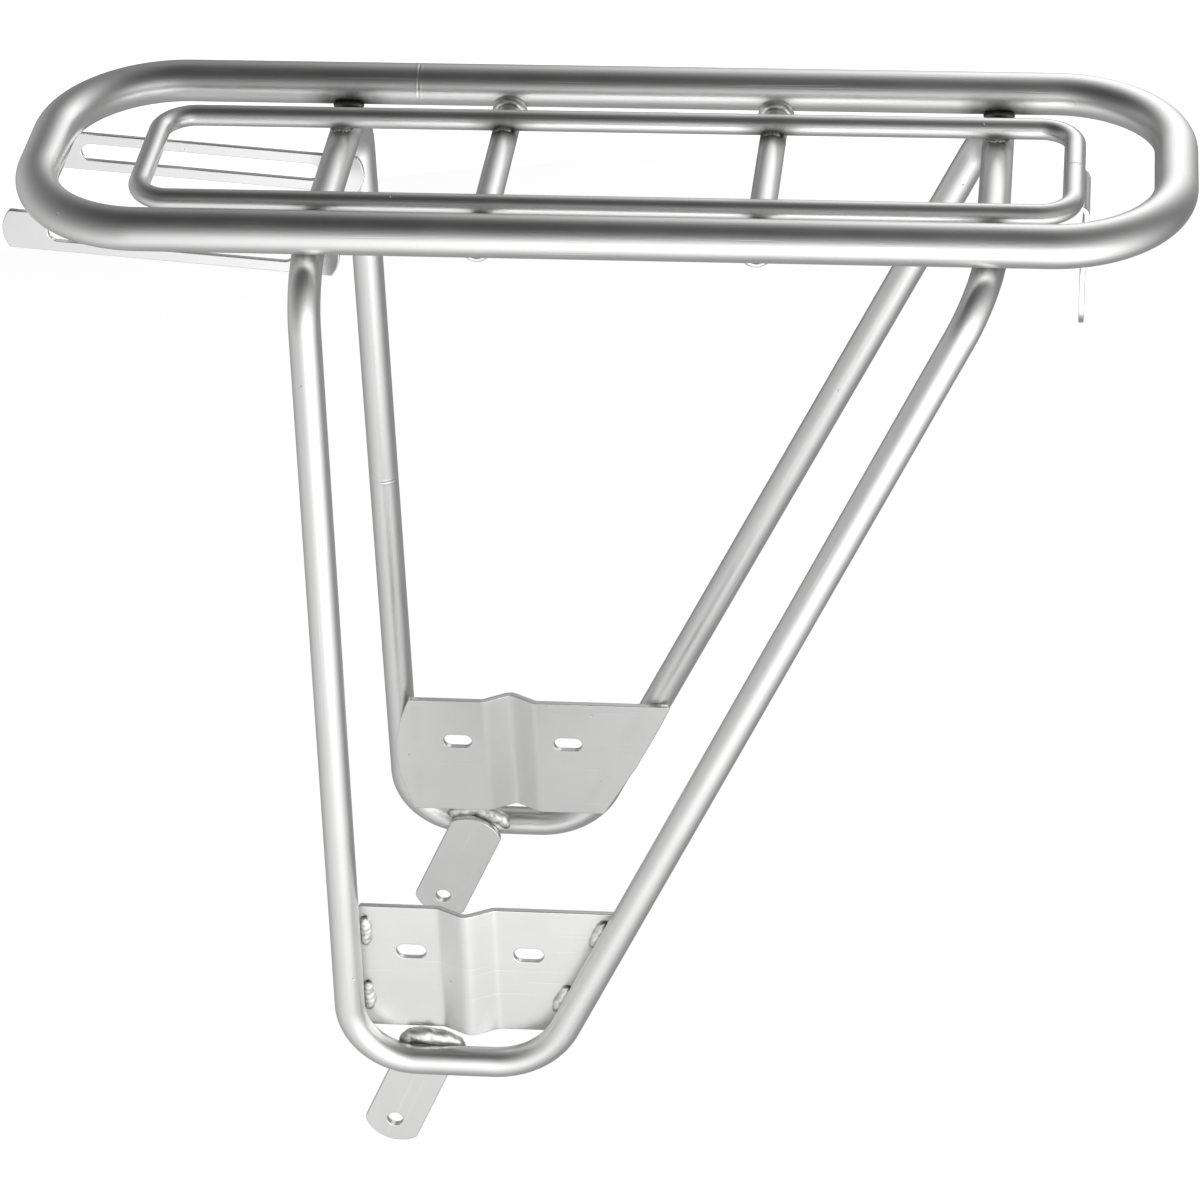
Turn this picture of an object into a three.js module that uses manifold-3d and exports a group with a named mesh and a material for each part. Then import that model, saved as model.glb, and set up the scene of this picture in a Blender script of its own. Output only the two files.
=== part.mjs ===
// Rear bicycle rack: a bent outer hoop and an inner rail form the deck, one bent leg loop carries it,
// and plates, tabs, struts and a lamp bracket are welded on. Millimetres, +X to the rear, +Z up.
// The origin is midway between the two lower eyelets; the rack is symmetric about Y = 0.
import * as THREE from 'three';
import { mergeVertices } from 'three/addons/utils/BufferGeometryUtils.js';
import initManifold from 'manifold-3d';

const wasm = await initManifold();
wasm.setup();
const { Manifold, Mesh: ManifoldMesh } = wasm;

// ---- driving dimensions ----
const GAP = 0.3;                 // clearance left between neighbouring pieces
const TUBE_WALL = 1.5;

const HOOP_R = 8;                // outer hoop: tube radius, centreline rectangle, corner radius
const HOOP_FRONT_X = -118;
const HOOP_REAR_X = 302;
const HOOP_HALF_Y = 58.5;
const HOOP_CORNER_R = 45;
const DECK_Z = 402;

const RAIL_R = 4;                // inner rail: solid rod seated in the cross tubes
const RAIL_FRONT_X = -79;
const RAIL_REAR_X = 265;
const RAIL_HALF_Y = 33;
const RAIL_CORNER_R = 13;
const RAIL_Z = DECK_Z - 1.5;

const LEG_R = 6;                 // leg loop: two arches under the deck, four legs, two bottom bends
const ARCH_FRONT_X = -11.7;
const ARCH_REAR_X = 236;
const ARCH_Z = DECK_Z - 12.1;
const SHOULDER_Y = 68.2;
const SHOULDER_R = 24;
const FOOT_FRONT_X = -14.1;
const FOOT_REAR_X = 63.3;
const FOOT_Y = 81.1;
const FOOT_Z = 36.2;
const FOOT_FRONT_R = 26;
const FOOT_REAR_R = 33;

const CROSS_R = 5;               // two cross tubes, coped to the hoop and notched for the rail
const CROSS_FRONT_X = 50.5;
const CROSS_REAR_X = 152;
const CROSS_Z = DECK_Z - 8;
const CROSS_END_Y = 55;
const VENT_R = 1.5;              // one vent in each hollow loop, on its underside

const PLATE_T = 2.5;             // side plates: sheet with one pressed ridge and two slots
const PLATE_TOP_S = 284;         // edges, measured down the leg plane from the arch
const PLATE_BOTTOM_S = 342;
const PLATE_TOP_X = [-8.5, 102.4];
const PLATE_BOTTOM_X = [-9.5, 72];
const PLATE_FRONT_PULL = [-20, 309];   // control points of the two curved edges
const PLATE_REAR_PULL = [87.4, 317];
const RIDGE_X = 34;
const RIDGE_HALF = 11;
const RIDGE_RISE = 5.5;
const RIDGE_CROWN = 2.5;         // half width and drop of the blunt crown
const RIDGE_CROWN_DROP = 0.8;
const SLOT_S = 305.2;
const SLOT_X = [11.2, 58.2];
const SLOT_LENGTH = 12;
const SLOT_WIDTH = 6.5;

const TAB_T = 3;                 // axle tabs with an eyelet at the lower end
const TAB_WIDTH = 22.5;
const TAB_LEAN = 24.2 * Math.PI / 180;
const TAB_BELOW = 10;
const TAB_ABOVE = 45.5;
const TAB_END_R = 15;
const EYELET_R = 3.2;

const STRUT_T = 2;               // front struts: slotted flat bars on edge
const STRUT_Y = 31.5;
const STRUT_H = 15.6;
const STRUT_FRONT_X = -130;
const STRUT_REAR_X = -4.5;
const STRUT_Z = 377.2;           // bar centre height at the front arch
const STRUT_RISE = 4.6 * Math.PI / 180;
const STRUT_END_R = 13;
const STRUT_SLOT_H = 7;
const STRUT_SLOT_MARGIN = 17;

const BRACKET_T = 2;             // lamp bracket: flange under the rail, tongue hanging behind it
const BRACKET_HALF_Y = 14.5;
const BRACKET_TOP_Z = DECK_Z - 7.5;
const BRACKET_FRONT_X = 262;
const BRACKET_REAR_X = 271.2;
const BRACKET_SET = 1.4;         // how far the tongue eases forward
const BRACKET_BEND_R = 4;
const BRACKET_BOTTOM_Z = 342;
const BRACKET_CORNER_R = 8;
const BRACKET_HOLE_R = 2.75;
const BRACKET_HOLE_Z = 354;

// Weld beads: half length, half width and half height, then where some of them sit.
const ARCH_BEAD = [6, 4.5, 3];
const ARCH_BEAD_INSET = 7.5;     // from the hoop's centreline, inward and down
const ARCH_BEAD_DROP = 7;
const ARCH_BEAD_TILT = 0.5;
const CROSS_BEAD = [7.4, 3.4, 7.4];
const CROSS_BEAD_INSET = 6;
const RAIL_BEAD = [4.2, 3.4, 1.9];
const SEAT_BEAD = [4, 2.4, 1.8];
const SEAT_BEAD_INSET = 4.6;
const PLATE_BEAD = [3, 7, 3];
const TAB_BEAD = [12.5, 5, 3.6];
const TAB_BEAD_AT = [16, 347.2, -4.2];     // x, s and n in the side frame
const TAB_BEAD_TILT = 0.12;
const TAB_END_BEAD = [3.4, 6, 4.4];
const TAB_END_BEAD_AT = [28, 350, -6.6];
const STRUT_BEAD = [6.5, 2.6, 2.6];
const BRACKET_BEAD = [3.6, 4, 2];
const BRACKET_BEAD_Y = 8.5;
const PLATE_BEAD_S = [295.5, 327, 293.5, 325.5];   // front upper and lower, rear upper and lower
const PLATE_BEAD_X = [-6.6, -7, 86.5, 70.8];

const TUBE_SIDES = 16;
const ROD_SIDES = 12;
const HOOP_BEND_STEPS = 7;
const BEND_STEPS = 5;

// ---- materials ----
const silver = new THREE.Color(0.72, 0.72, 0.71);
const bright = new THREE.Color(0.86, 0.86, 0.87);
const beadGrey = new THREE.Color(0.55, 0.55, 0.55);

function satin() {
  return new THREE.MeshStandardMaterial({ color: silver, roughness: 0.38, metalness: 0.9 });
}
function polished() {
  return new THREE.MeshStandardMaterial({ color: bright, roughness: 0.12, metalness: 1 });
}
function weldMetal() {
  return new THREE.MeshStandardMaterial({ color: beadGrey, roughness: 0.5, metalness: 0.85 });
}

// ---- solids ----
function toSolid(geometry) {
  const bare = geometry.clone();
  bare.deleteAttribute('normal');
  bare.deleteAttribute('uv');
  const merged = mergeVertices(bare, 1e-4);
  return new Manifold(new ManifoldMesh({
    numProp: 3,
    vertProperties: new Float32Array(merged.attributes.position.array),
    triVerts: new Uint32Array(merged.index.array),
  }));
}

function toGeometry(solid) {
  const mesh = solid.getMesh();
  const geometry = new THREE.BufferGeometry();
  geometry.setAttribute('position', new THREE.BufferAttribute(mesh.vertProperties, 3));
  geometry.setIndex(new THREE.BufferAttribute(mesh.triVerts, 1));
  return geometry;
}

function mirrored(geometry) {
  const copy = geometry.clone().scale(1, -1, 1);
  const index = copy.index.array;
  for (let i = 0; i < index.length; i += 3) {
    [index[i + 1], index[i + 2]] = [index[i + 2], index[i + 1]];
  }
  return copy;
}

// ---- bent tube paths ----
// Corner points joined by straight runs, each corner rounded by an arc of its own radius.
// Stations stand only at the ends of each arc and along it, so straight runs cost nothing.
function bendStations(corners, radii, steps) {
  const stations = [];
  corners.forEach((corner, i) => {
    const before = corners[(i + corners.length - 1) % corners.length];
    const after = corners[(i + 1) % corners.length];
    const back = before.clone().sub(corner).normalize();
    const ahead = after.clone().sub(corner).normalize();
    const half = back.angleTo(ahead) / 2;
    const radius = radii[i];
    const centre = back.clone().add(ahead).normalize().multiplyScalar(radius / Math.sin(half)).add(corner);
    const start = corner.clone().addScaledVector(back, radius / Math.tan(half)).sub(centre);
    const axis = back.clone().cross(ahead).normalize().negate();
    const sweep = Math.PI - 2 * half;
    for (let k = 0; k <= steps; k += 1) {
      const angle = sweep * k / steps;
      const arm = start.clone().applyAxisAngle(axis, angle);
      stations.push({ point: arm.clone().add(centre), tangent: axis.clone().cross(arm).normalize() });
    }
  });
  return stations;
}

class StationCurve extends THREE.Curve {
  constructor(stations) {
    super();
    this.stations = stations;
  }

  at(u) {
    const n = this.stations.length;
    return this.stations[Math.round(u * n) % n];
  }

  getPointAt(u, target = new THREE.Vector3()) {
    return target.copy(this.at(u).point);
  }

  getTangentAt(u, target = new THREE.Vector3()) {
    return target.copy(this.at(u).tangent);
  }
}

function closedTube(corners, radii, steps, tubeRadius, sides) {
  const stations = bendStations(corners, radii, steps);
  return new THREE.TubeGeometry(new StationCurve(stations), stations.length, tubeRadius, sides, true);
}

function hollowLoop(corners, radii, steps, tubeRadius, ventAt) {
  const outside = toSolid(closedTube(corners, radii, steps, tubeRadius, TUBE_SIDES));
  const inside = toSolid(closedTube(corners, radii, steps, tubeRadius - TUBE_WALL, ROD_SIDES));
  const vent = new THREE.CylinderGeometry(VENT_R, VENT_R, tubeRadius, 8);
  vent.rotateX(Math.PI / 2).translate(ventAt.x, ventAt.y, ventAt.z - tubeRadius);
  return outside.subtract(inside).subtract(toSolid(vent));
}

function rectangleCorners(frontX, rearX, halfY, z) {
  return [
    new THREE.Vector3(frontX, -halfY, z),
    new THREE.Vector3(rearX, -halfY, z),
    new THREE.Vector3(rearX, halfY, z),
    new THREE.Vector3(frontX, halfY, z),
  ];
}

function crossCylinder(x, z, radius, halfLength, sides) {
  const rod = new THREE.CylinderGeometry(radius, radius, 2 * halfLength, sides);
  return toSolid(rod.translate(x, 0, z));
}

// ---- deck and legs ----
const hoopCorners = rectangleCorners(HOOP_FRONT_X, HOOP_REAR_X, HOOP_HALF_Y, DECK_Z);
const hoopRadii = hoopCorners.map(() => HOOP_CORNER_R);
const hoopVent = new THREE.Vector3(HOOP_REAR_X, 0, DECK_Z);
const outerHoop = hollowLoop(hoopCorners, hoopRadii, HOOP_BEND_STEPS, HOOP_R, hoopVent);

const railCorners = rectangleCorners(RAIL_FRONT_X, RAIL_REAR_X, RAIL_HALF_Y, RAIL_Z);
const railRadii = railCorners.map(() => RAIL_CORNER_R);
const innerRail = toSolid(closedTube(railCorners, railRadii, BEND_STEPS, RAIL_R, ROD_SIDES));

const loopCorners = [
  new THREE.Vector3(ARCH_FRONT_X, SHOULDER_Y, ARCH_Z),
  new THREE.Vector3(ARCH_FRONT_X, -SHOULDER_Y, ARCH_Z),
  new THREE.Vector3(FOOT_FRONT_X, -FOOT_Y, FOOT_Z),
  new THREE.Vector3(FOOT_REAR_X, -FOOT_Y, FOOT_Z),
  new THREE.Vector3(ARCH_REAR_X, -SHOULDER_Y, ARCH_Z),
  new THREE.Vector3(ARCH_REAR_X, SHOULDER_Y, ARCH_Z),
  new THREE.Vector3(FOOT_REAR_X, FOOT_Y, FOOT_Z),
  new THREE.Vector3(FOOT_FRONT_X, FOOT_Y, FOOT_Z),
];
const loopRadii = [
  SHOULDER_R, SHOULDER_R, FOOT_FRONT_R, FOOT_REAR_R, SHOULDER_R, SHOULDER_R, FOOT_REAR_R, FOOT_FRONT_R,
];
const loopVent = new THREE.Vector3(ARCH_FRONT_X, 0, ARCH_Z);
const legLoop = hollowLoop(loopCorners, loopRadii, BEND_STEPS, LEG_R, loopVent);

// Slightly swollen copies of the tubes cut clearance into whatever is welded to them.
function swollen(radius) {
  return (radius + GAP) / Math.cos(Math.PI / ROD_SIDES);
}

function clearance(corners, radii, steps, tubeRadius) {
  return toSolid(closedTube(corners, radii, steps, swollen(tubeRadius), ROD_SIDES));
}

const hoopClear = clearance(hoopCorners, hoopRadii, HOOP_BEND_STEPS, HOOP_R);
const railClear = clearance(railCorners, railRadii, BEND_STEPS, RAIL_R);
const loopClear = clearance(loopCorners, loopRadii, BEND_STEPS, LEG_R);

function crossTube(x) {
  const outside = crossCylinder(x, CROSS_Z, CROSS_R, CROSS_END_Y, TUBE_SIDES);
  const inside = crossCylinder(x, CROSS_Z, CROSS_R - TUBE_WALL, CROSS_END_Y + 1, ROD_SIDES);
  return outside.subtract(inside).subtract(hoopClear).subtract(railClear);
}

// ---- side frame: x along the rack, s down the splayed leg plane, n outward from it (right side) ----
const splay = Math.atan2(FOOT_Y - SHOULDER_Y, ARCH_Z - FOOT_Z);
const sideFrame = new THREE.Matrix4().makeBasis(
  new THREE.Vector3(1, 0, 0),
  new THREE.Vector3(0, Math.sin(splay), -Math.cos(splay)),
  new THREE.Vector3(0, Math.cos(splay), Math.sin(splay)),
).setPosition(0, SHOULDER_Y, ARCH_Z);
const SHEET_OUTER_N = -(LEG_R + GAP);

function slotPath(x, s, length, width) {
  const path = new THREE.Path();
  const reach = (length - width) / 2;
  path.absarc(x - reach, s, width / 2, Math.PI / 2, 1.5 * Math.PI, false);
  path.absarc(x + reach, s, width / 2, 1.5 * Math.PI, 2.5 * Math.PI, false);
  return path;
}

function sidePlate() {
  const outline = new THREE.Shape();
  outline.moveTo(PLATE_TOP_X[0], PLATE_TOP_S);
  outline.lineTo(PLATE_TOP_X[1], PLATE_TOP_S);
  outline.quadraticCurveTo(...PLATE_REAR_PULL, PLATE_BOTTOM_X[1], PLATE_BOTTOM_S);
  outline.lineTo(PLATE_BOTTOM_X[0], PLATE_BOTTOM_S);
  outline.quadraticCurveTo(...PLATE_FRONT_PULL, PLATE_TOP_X[0], PLATE_TOP_S);
  SLOT_X.forEach((x) => outline.holes.push(slotPath(x, SLOT_S, SLOT_LENGTH, SLOT_WIDTH)));
  const blankDepth = PLATE_T + RIDGE_RISE + 12;
  const blank = new THREE.ExtrudeGeometry(outline, {
    depth: blankDepth, bevelEnabled: false, curveSegments: 6,
  });
  blank.translate(0, 0, SHEET_OUTER_N + RIDGE_RISE + 6 - blankDepth);

  // The pressed sheet, seen along s: flat, up over the ridge, flat again. Its inner side follows at
  // sheet thickness, so the slopes start a little later and the crown is narrower.
  const reach = [PLATE_BOTTOM_X[0] - 20, PLATE_TOP_X[1] + 20];
  const lag = PLATE_T / 2;
  const innerRise = RIDGE_RISE - RIDGE_CROWN_DROP / 2 - PLATE_T;
  const profile = [
    [reach[0], 0],
    [RIDGE_X - RIDGE_HALF, 0],
    [RIDGE_X - RIDGE_CROWN, RIDGE_RISE - RIDGE_CROWN_DROP],
    [RIDGE_X, RIDGE_RISE],
    [RIDGE_X + RIDGE_CROWN, RIDGE_RISE - RIDGE_CROWN_DROP],
    [RIDGE_X + RIDGE_HALF, 0],
    [reach[1], 0],
    [reach[1], -PLATE_T],
    [RIDGE_X + RIDGE_HALF - lag, -PLATE_T],
    [RIDGE_X + RIDGE_CROWN - lag, innerRise],
    [RIDGE_X - RIDGE_CROWN + lag, innerRise],
    [RIDGE_X - RIDGE_HALF + lag, -PLATE_T],
    [reach[0], -PLATE_T],
  ];
  const fold = new THREE.Shape(profile.map(([x, n]) => new THREE.Vector2(x, n)));
  const margin = 10;
  const sheet = new THREE.ExtrudeGeometry(fold, {
    depth: PLATE_BOTTOM_S - PLATE_TOP_S + 2 * margin, bevelEnabled: false,
  });
  sheet.rotateX(Math.PI / 2).translate(0, PLATE_BOTTOM_S + margin, SHEET_OUTER_N);
  return toGeometry(toSolid(sheet).intersect(toSolid(blank))).applyMatrix4(sideFrame);
}

// A flat end closed by one wide arc: the half width and the arc radius give its depth.
function arcDepth(halfWidth, radius) {
  return radius - Math.sqrt(radius * radius - halfWidth * halfWidth);
}

function axleTab() {
  const half = TAB_WIDTH / 2;
  const swing = Math.asin(half / TAB_END_R);
  const outline = new THREE.Shape();
  outline.absarc(0, TAB_END_R - TAB_BELOW, TAB_END_R, 1.5 * Math.PI - swing, 1.5 * Math.PI + swing, false);
  outline.absarc(0, TAB_ABOVE - TAB_END_R, TAB_END_R, Math.PI / 2 - swing, Math.PI / 2 + swing, false);
  outline.closePath();
  const eyelet = new THREE.Path();
  eyelet.absarc(0, 0, EYELET_R, 0, 2 * Math.PI, true);
  outline.holes.push(eyelet);
  const sheet = new THREE.ExtrudeGeometry(outline, { depth: TAB_T, bevelEnabled: false, curveSegments: 10 });
  // Local up leans to the rear; down the leg plane is the local -Y, so the sheet turns about X.
  sheet.rotateZ(-TAB_LEAN).rotateX(Math.PI);
  const eyeletS = ARCH_Z / Math.cos(splay) + SHEET_OUTER_N * Math.tan(splay);
  sheet.translate(0, eyeletS, SHEET_OUTER_N);
  return toGeometry(toSolid(sheet)).applyMatrix4(sideFrame);
}

function frontStrut() {
  const length = (STRUT_REAR_X - STRUT_FRONT_X) / Math.cos(STRUT_RISE);
  const half = STRUT_H / 2;
  const depth = arcDepth(half, STRUT_END_R);
  const swing = Math.asin(half / STRUT_END_R);
  const outline = new THREE.Shape();
  outline.absarc(STRUT_END_R, 0, STRUT_END_R, Math.PI - swing, Math.PI + swing, false);
  outline.lineTo(length - depth, -half);
  outline.absarc(length - STRUT_END_R, 0, STRUT_END_R, -swing, swing, false);
  outline.closePath();
  const slotLength = length - 2 * STRUT_SLOT_MARGIN;
  outline.holes.push(slotPath(length / 2, 0, slotLength, STRUT_SLOT_H));
  const bar = new THREE.ExtrudeGeometry(outline, { depth: STRUT_T, bevelEnabled: false, curveSegments: 6 });
  bar.rotateX(Math.PI / 2).translate(STRUT_FRONT_X - ARCH_FRONT_X, STRUT_T / 2, 0);
  bar.rotateY(STRUT_RISE).translate(ARCH_FRONT_X, STRUT_Y, STRUT_Z);
  return toGeometry(toSolid(bar).subtract(loopClear));
}

function lampBracket() {
  // Side profile: flange, bend, tongue easing forward to a plumb lower end.
  const plumbX = BRACKET_REAR_X - BRACKET_SET;
  const plumbZ = BRACKET_HOLE_Z + 8;
  const bendZ = BRACKET_TOP_Z - 1.5 * BRACKET_BEND_R;
  const underZ = BRACKET_TOP_Z - BRACKET_T;
  const frontX = BRACKET_REAR_X - BRACKET_T;
  const profile = new THREE.Shape();
  profile.moveTo(BRACKET_FRONT_X, BRACKET_TOP_Z);
  profile.lineTo(BRACKET_REAR_X - BRACKET_BEND_R, BRACKET_TOP_Z);
  profile.quadraticCurveTo(BRACKET_REAR_X, BRACKET_TOP_Z, BRACKET_REAR_X, bendZ);
  profile.lineTo(plumbX, plumbZ);
  profile.lineTo(plumbX, BRACKET_BOTTOM_Z - 5);
  profile.lineTo(plumbX - BRACKET_T, BRACKET_BOTTOM_Z - 5);
  profile.lineTo(plumbX - BRACKET_T, plumbZ);
  profile.lineTo(frontX, bendZ);
  profile.quadraticCurveTo(frontX, underZ, BRACKET_REAR_X - BRACKET_BEND_R, underZ);
  profile.lineTo(BRACKET_FRONT_X, underZ);
  profile.closePath();
  const sheet = new THREE.ExtrudeGeometry(profile, {
    depth: 2 * BRACKET_HALF_Y, bevelEnabled: false, curveSegments: 5,
  });
  sheet.rotateX(Math.PI / 2).translate(0, BRACKET_HALF_Y, 0);

  // Rear outline: straight sides and rounded lower corners, with the lamp bolt hole.
  const side = BRACKET_HALF_Y;
  const turn = BRACKET_CORNER_R;
  const outline = new THREE.Shape();
  outline.moveTo(side, BRACKET_TOP_Z + 5);
  outline.lineTo(-side, BRACKET_TOP_Z + 5);
  outline.absarc(-side + turn, BRACKET_BOTTOM_Z + turn, turn, Math.PI, 1.5 * Math.PI, false);
  outline.absarc(side - turn, BRACKET_BOTTOM_Z + turn, turn, 1.5 * Math.PI, 2 * Math.PI, false);
  outline.closePath();
  const hole = new THREE.Path();
  hole.absarc(0, BRACKET_HOLE_Z, BRACKET_HOLE_R, 0, 2 * Math.PI, true);
  outline.holes.push(hole);
  const blank = new THREE.ExtrudeGeometry(outline, { depth: 40, bevelEnabled: false, curveSegments: 5 });
  blank.applyMatrix4(new THREE.Matrix4().makeBasis(
    new THREE.Vector3(0, 1, 0), new THREE.Vector3(0, 0, 1), new THREE.Vector3(1, 0, 0),
  )).translate(BRACKET_FRONT_X - 10, 0, 0);
  return toGeometry(toSolid(sheet).intersect(toSolid(blank)));
}

// ---- weld beads: rounded blobs with the joined pieces cut away ----
function blob([halfLength, halfWidth, halfHeight]) {
  return new THREE.SphereGeometry(1, 10, 7).scale(halfLength, halfWidth, halfHeight);
}

function crossRodClear(x) {
  return crossCylinder(x, CROSS_Z, swollen(CROSS_R), HOOP_HALF_Y + HOOP_R, ROD_SIDES);
}

// Inside the hoop, in the corner over the arch.
function archWeld(x) {
  const bead = blob(ARCH_BEAD).rotateX(ARCH_BEAD_TILT);
  bead.translate(x, HOOP_HALF_Y - ARCH_BEAD_INSET, DECK_Z - ARCH_BEAD_DROP);
  return toGeometry(toSolid(bead).subtract(hoopClear).subtract(loopClear));
}

// A collar round the coped end of a cross tube.
function crossWeld(x) {
  const collar = blob(CROSS_BEAD).translate(x, HOOP_HALF_Y - CROSS_BEAD_INSET, CROSS_Z);
  return toGeometry(toSolid(collar).subtract(crossRodClear(x)).subtract(hoopClear));
}

// Between the rail and the arch under it.
function railWeld(x) {
  const bead = blob(RAIL_BEAD).translate(x, RAIL_HALF_Y, (RAIL_Z - RAIL_R + ARCH_Z + LEG_R) / 2);
  return toGeometry(toSolid(bead).subtract(railClear).subtract(loopClear));
}

// On top of a cross tube, against the inner side of the rail seated in it.
function seatWeld(x) {
  const bead = blob(SEAT_BEAD).translate(x, RAIL_HALF_Y - SEAT_BEAD_INSET, CROSS_Z + CROSS_R);
  return toGeometry(toSolid(bead).subtract(railClear).subtract(crossRodClear(x)));
}

function onSide(geometry, x, s, n) {
  return geometry.translate(x, s, n).applyMatrix4(sideFrame);
}

function plateWeld(x, s, lean) {
  const bead = onSide(blob(PLATE_BEAD).rotateZ(lean), x, s, SHEET_OUTER_N);
  const cutDepth = 6;
  const cut = new THREE.BoxGeometry(60, 60, cutDepth);
  const plateFace = onSide(cut, x, s, SHEET_OUTER_N + GAP - cutDepth / 2);
  return toGeometry(toSolid(bead).subtract(loopClear).subtract(toSolid(plateFace)));
}

// Over the top edge of the tab, with a second lump round its rear corner.
function tabWeld() {
  const bead = onSide(blob(TAB_BEAD).rotateZ(TAB_BEAD_TILT), ...TAB_BEAD_AT);
  const end = onSide(blob(TAB_END_BEAD).rotateZ(-TAB_LEAN), ...TAB_END_BEAD_AT);
  const reach = new THREE.BoxGeometry(TAB_WIDTH + 2 * GAP, 120, TAB_T + 2 * GAP).rotateZ(TAB_LEAN);
  const tabClear = onSide(reach, 0, ARCH_Z, SHEET_OUTER_N - TAB_T / 2);
  return toGeometry(toSolid(bead).add(toSolid(end)).subtract(loopClear).subtract(toSolid(tabClear)));
}

function strutWeld() {
  const outerFaceY = STRUT_Y + STRUT_T / 2;
  const bead = blob(STRUT_BEAD).translate(ARCH_FRONT_X, outerFaceY + 1.2, ARCH_Z - LEG_R - 1);
  const barClear = new THREE.BoxGeometry(40, STRUT_T + 2 * GAP, 40);
  barClear.translate(ARCH_FRONT_X, STRUT_Y, STRUT_Z);
  return toGeometry(toSolid(bead).subtract(loopClear).subtract(toSolid(barClear)));
}

function bracketWeld() {
  const bead = blob(BRACKET_BEAD);
  bead.translate(RAIL_REAR_X, BRACKET_BEAD_Y, (RAIL_Z - RAIL_R + BRACKET_TOP_Z) / 2);
  const cutHeight = 10;
  const flangeClear = new THREE.BoxGeometry(30, 40, cutHeight);
  flangeClear.translate(RAIL_REAR_X, 0, BRACKET_TOP_Z + GAP - cutHeight / 2);
  return toGeometry(toSolid(bead).subtract(railClear).subtract(toSolid(flangeClear)));
}

// ---- assembly ----
const group = new THREE.Group();

function add(name, geometry, material) {
  const mesh = new THREE.Mesh(geometry, material);
  mesh.name = name;
  group.add(mesh);
}

function addPair(name, rightGeometry, material) {
  add(`${name}_right`, rightGeometry, material());
  add(`${name}_left`, mirrored(rightGeometry), material());
}

add('outer_hoop', toGeometry(outerHoop), satin());
add('inner_rail', toGeometry(innerRail), satin());
add('leg_loop', toGeometry(legLoop), satin());
add('cross_tube_front', toGeometry(crossTube(CROSS_FRONT_X)), satin());
add('cross_tube_rear', toGeometry(crossTube(CROSS_REAR_X)), satin());
addPair('side_plate', sidePlate(), satin);
addPair('axle_tab', axleTab(), satin);
addPair('front_strut', frontStrut(), polished);
add('lamp_bracket', lampBracket(), polished());

addPair('weld_hoop_arch_front', archWeld(ARCH_FRONT_X), weldMetal);
addPair('weld_hoop_arch_rear', archWeld(ARCH_REAR_X), weldMetal);
addPair('weld_hoop_cross_front', crossWeld(CROSS_FRONT_X), weldMetal);
addPair('weld_hoop_cross_rear', crossWeld(CROSS_REAR_X), weldMetal);
addPair('weld_rail_arch_front', railWeld(ARCH_FRONT_X), weldMetal);
addPair('weld_rail_arch_rear', railWeld(ARCH_REAR_X), weldMetal);
addPair('weld_rail_cross_front', seatWeld(CROSS_FRONT_X), weldMetal);
addPair('weld_rail_cross_rear', seatWeld(CROSS_REAR_X), weldMetal);

const rearLean = Math.atan2(ARCH_REAR_X - FOOT_REAR_X, ARCH_Z - FOOT_Z);
['front_upper', 'front_lower', 'rear_upper', 'rear_lower'].forEach((place, i) => {
  const lean = i < 2 ? 0 : rearLean;
  addPair(`weld_plate_${place}`, plateWeld(PLATE_BEAD_X[i], PLATE_BEAD_S[i], lean), weldMetal);
});
addPair('weld_tab', tabWeld(), weldMetal);
addPair('weld_strut', strutWeld(), weldMetal);
addPair('weld_bracket', bracketWeld(), weldMetal);

export default group;
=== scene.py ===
"""Looks of a welded tubular bicycle rear rack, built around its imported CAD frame.

Every CAD node gets a finer visible piece: smooth bent tubes with their butt seams, pressed sheet parts with
rounded edges, and rippled weld beads. Metres, +X to the rear of the bicycle, +Y to its right side, +Z up.
"""
import math

import bpy
import numpy as np
from mathutils import Matrix, Vector
from mathutils.geometry import delaunay_2d_cdt


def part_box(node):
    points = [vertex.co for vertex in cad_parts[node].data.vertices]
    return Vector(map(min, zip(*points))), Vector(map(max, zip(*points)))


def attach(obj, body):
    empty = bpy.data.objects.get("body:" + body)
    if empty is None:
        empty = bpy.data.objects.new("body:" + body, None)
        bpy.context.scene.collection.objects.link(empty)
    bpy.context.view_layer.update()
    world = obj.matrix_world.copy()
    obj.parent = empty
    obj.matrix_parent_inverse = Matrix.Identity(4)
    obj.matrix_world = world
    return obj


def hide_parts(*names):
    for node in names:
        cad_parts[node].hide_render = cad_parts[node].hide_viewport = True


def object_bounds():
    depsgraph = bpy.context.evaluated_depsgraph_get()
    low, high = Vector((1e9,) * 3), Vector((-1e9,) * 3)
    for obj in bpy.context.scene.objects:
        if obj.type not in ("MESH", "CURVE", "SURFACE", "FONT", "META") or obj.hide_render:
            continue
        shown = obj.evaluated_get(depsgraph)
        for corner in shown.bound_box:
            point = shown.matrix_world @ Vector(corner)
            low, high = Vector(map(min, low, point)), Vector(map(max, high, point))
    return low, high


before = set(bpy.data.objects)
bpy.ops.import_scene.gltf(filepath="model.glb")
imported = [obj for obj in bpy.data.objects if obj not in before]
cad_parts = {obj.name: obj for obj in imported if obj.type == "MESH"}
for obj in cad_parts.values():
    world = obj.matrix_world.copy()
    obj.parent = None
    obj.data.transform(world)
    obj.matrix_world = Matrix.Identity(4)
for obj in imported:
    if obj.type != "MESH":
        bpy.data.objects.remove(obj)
cad_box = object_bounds()

MM = 0.001
SIDES = {"right": 1.0, "left": -1.0}


# ---------------------------------------------------------------- camera
CAMERA_AT = Vector((0.27133, -1.47592, 1.19849))
CAMERA_YAW = -0.12666        # radians, turned from +Y towards -X
CAMERA_PITCH = 0.58822       # looking down
CAMERA_ROLL = 0.04276
CAMERA_LENS = 136.23         # on a 36 mm sensor


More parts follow.
